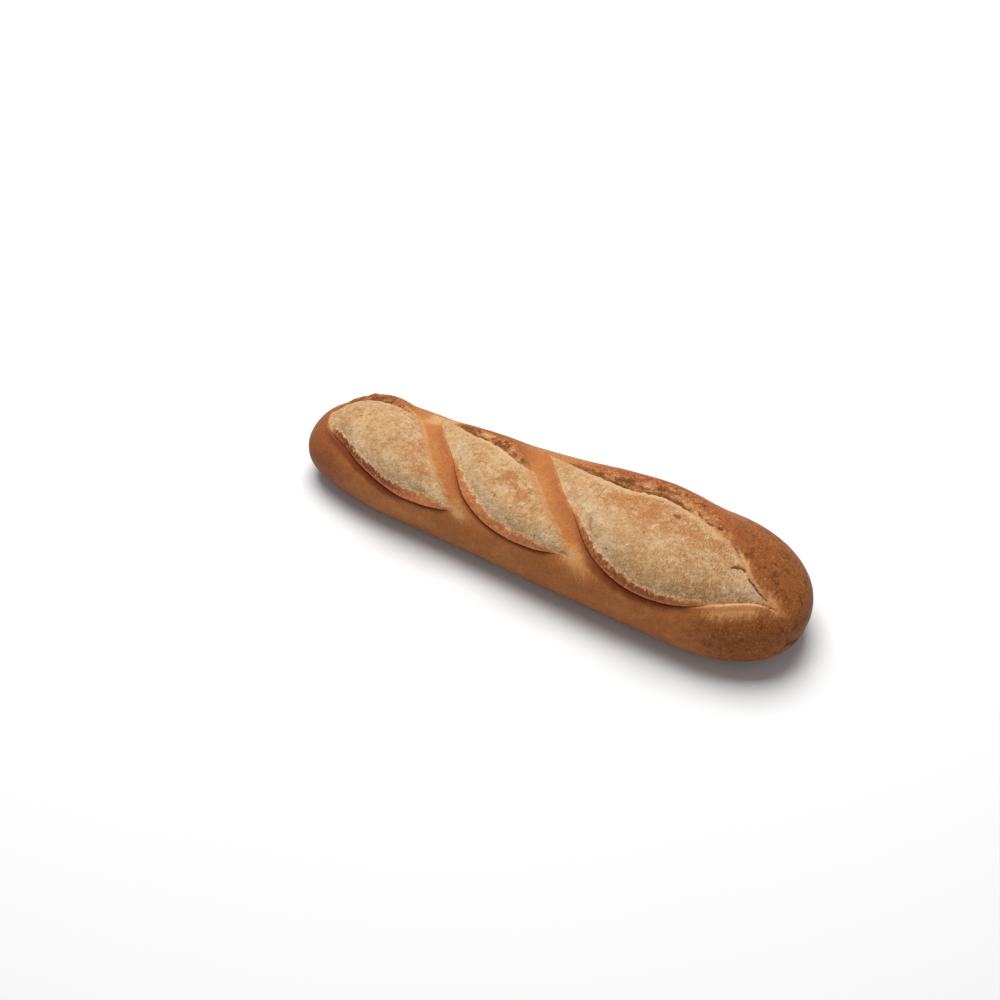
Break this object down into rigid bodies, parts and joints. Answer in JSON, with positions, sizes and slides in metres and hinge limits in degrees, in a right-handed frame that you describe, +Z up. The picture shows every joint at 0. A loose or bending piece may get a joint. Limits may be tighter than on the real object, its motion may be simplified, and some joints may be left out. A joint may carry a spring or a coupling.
{
  "type": "hoagie roll",
  "caption": "Long crusty bread roll with rounded ends and slanting scores that have opened across its top, resting on its flat sole.",
  "frame": {"origin": "on the table, under the middle of the roll's length and width", "axes": "+X along the roll towards its fat end, +Z up, +Y across the roll towards the side on which the scores tore open"},
  "size_m": [0.27, 0.076, 0.0476],
  "materials": {
    "crust": "matt baked bread crust, golden brown, with paler floury bread in the opened scores"
  },
  "bodies": {
    "root": {"bread_roll": "crust"}
  },
  "joints": []
}
